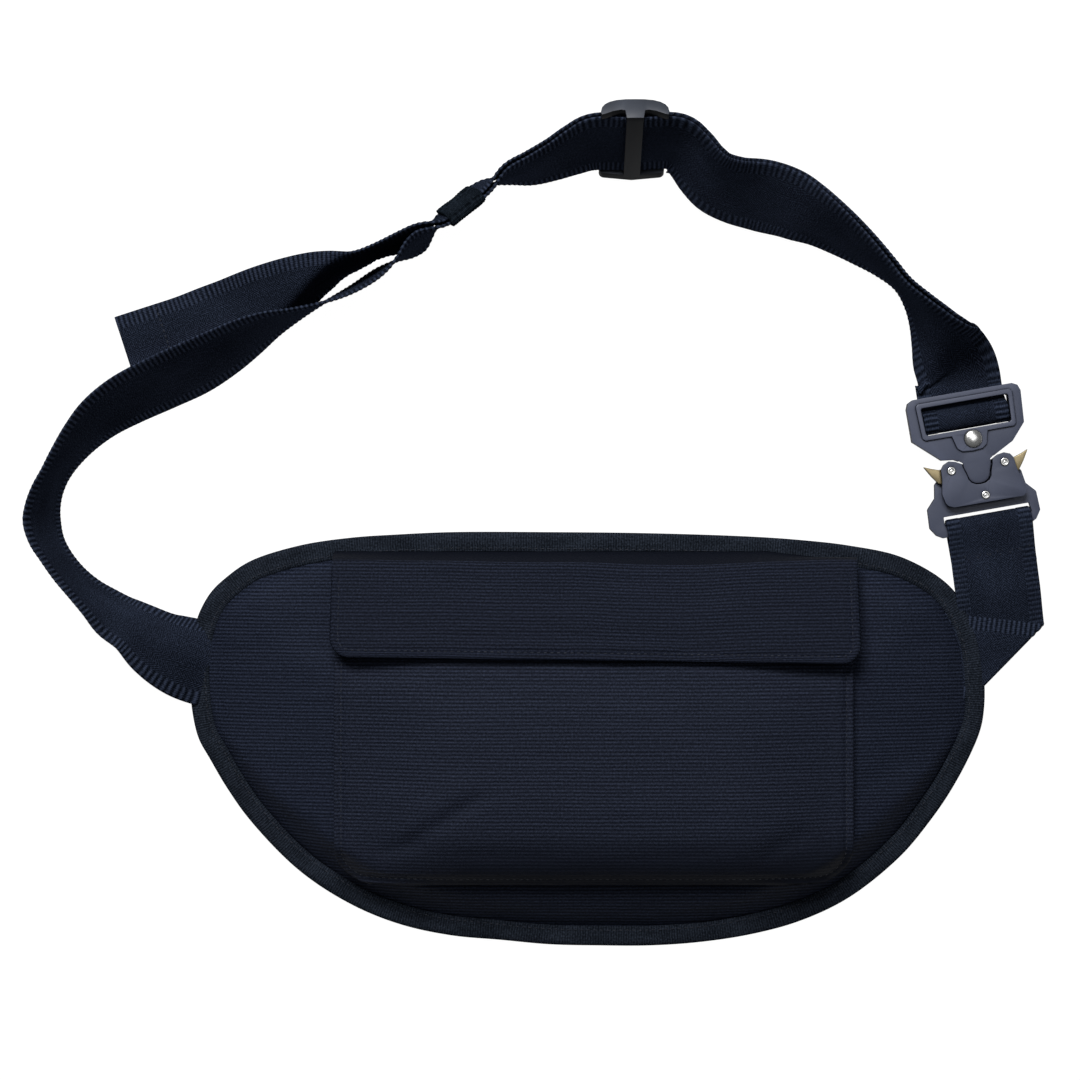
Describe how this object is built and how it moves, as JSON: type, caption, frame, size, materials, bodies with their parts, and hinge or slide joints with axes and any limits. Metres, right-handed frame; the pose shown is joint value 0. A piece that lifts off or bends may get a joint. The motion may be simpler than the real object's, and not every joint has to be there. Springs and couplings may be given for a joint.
{
  "type": "waist pack",
  "caption": "Half-moon waist pack with a flap pocket, hidden zip and adjustable webbing belt closed by a metal side-lever buckle.",
  "frame": {"origin": "middle of the back panel's resting face", "axes": "+Z out of the front of the pack, +Y towards its top edge, +X along its length towards the buckle side"},
  "size_m": [0.4529, 0.3708, 0.0457],
  "materials": {
    "front_fabric": "ribbed navy-black nylon",
    "pocket_fabric": "ribbed navy-black nylon",
    "back_mesh": "padded air mesh",
    "lining_fabric": "plain weave",
    "foam": "soft foam",
    "binding_tape": "grosgrain tape",
    "webbing": "woven webbing",
    "elastic": "woven elastic",
    "hook_loop": "hook and loop tape",
    "zip_tape": "woven zip tape",
    "zip_teeth": "moulded",
    "zip_metal": "black lacquer",
    "black_plastic": "moulded satin",
    "buckle_black": "matte anodised",
    "lever_metal": "pale satin",
    "rivet_steel": "polished",
    "spring_steel": "drawn wire"
  },
  "bodies": {
    "bag": {"back_panel": "back_mesh", "back_padding": "foam", "lining": "lining_fabric", "front_panel": "front_fabric", "binding": "binding_tape", "zip_tape_upper": "zip_tape", "zip_tape_lower": "zip_tape", "zip_teeth_upper": "zip_teeth", "zip_teeth_lower": "zip_teeth", "zip_stops": "zip_metal", "pocket_panel": "pocket_fabric", "pocket_gusset": "pocket_fabric", "pocket_hem": "pocket_fabric", "pocket_hook_pads": "hook_loop", "flap_riser": "lining_fabric", "strap_main": "webbing", "strap_return": "webbing", "strap_flex": "webbing", "strap_stub": "webbing", "base_plate": "buckle_black", "cover_plate": "buckle_black", "lever_springs": "spring_steel", "buckle_rivets": "rivet_steel"},
    "flap": {"flap_outer": "pocket_fabric", "flap_lining": "lining_fabric", "flap_loop_pads": "hook_loop"},
    "slider": {"zip_slider": "zip_metal"},
    "puller": {"zip_puller": "zip_metal"},
    "glide": {"tri_glide": "black_plastic"},
    "keeper_band": {"keeper": "elastic"},
    "buckle_male": {"male_plate": "buckle_black", "male_bezel": "buckle_black", "male_bar": "buckle_black", "dome_rivet": "rivet_steel", "strap_end_loop": "webbing"},
    "left_lever": {"lever_left": "lever_metal"},
    "right_lever": {"lever_right": "lever_metal"}
  },
  "joints": [
    {"name": "flap_hinge", "type": "hinge", "parent": "bag", "child": "flap", "pos_m": [0, 0.078, 0.0177], "axis": [-1, 0, 0], "range_deg": [0, 160]},
    {"name": "zip_slide", "type": "slide", "parent": "bag", "child": "slider", "axis": [-1, 0, 0], "range_m": [0, 0.176]},
    {"name": "puller_hinge", "type": "hinge", "parent": "slider", "child": "puller", "pos_m": [0.088, 0.06965, 0.01153], "axis": [0, 0.9464, -0.3229], "range_deg": [0, 12]},
    {"name": "tri_glide_slide", "type": "slide", "parent": "bag", "child": "glide", "axis": [1, 0, 0], "range_m": [-0.0025, 0.0025]},
    {"name": "keeper_slide", "type": "slide", "parent": "bag", "child": "keeper_band", "axis": [0.7809, 0.6247, 0], "range_m": [-0.005, 0.004]},
    {"name": "buckle_release", "type": "slide", "parent": "bag", "child": "buckle_male", "axis": [-0.1719, 0.9851, 0], "range_m": [0, 0.025], "deforming": ["strap_flex"]},
    {"name": "lever_left_press", "type": "hinge", "parent": "bag", "child": "left_lever", "pos_m": [0.16134, 0.11953, 0.0059], "axis": [0, 0, 1], "range_deg": [0, 12], "stiffness_Nm_per_rad": 0.02, "deforming": ["lever_springs"]},
    {"name": "lever_right_press", "type": "hinge", "parent": "bag", "child": "right_lever", "pos_m": [0.18499, 0.12365, 0.0059], "axis": [0, 0, -1], "range_deg": [0, 12], "stiffness_Nm_per_rad": 0.02}
  ]
}
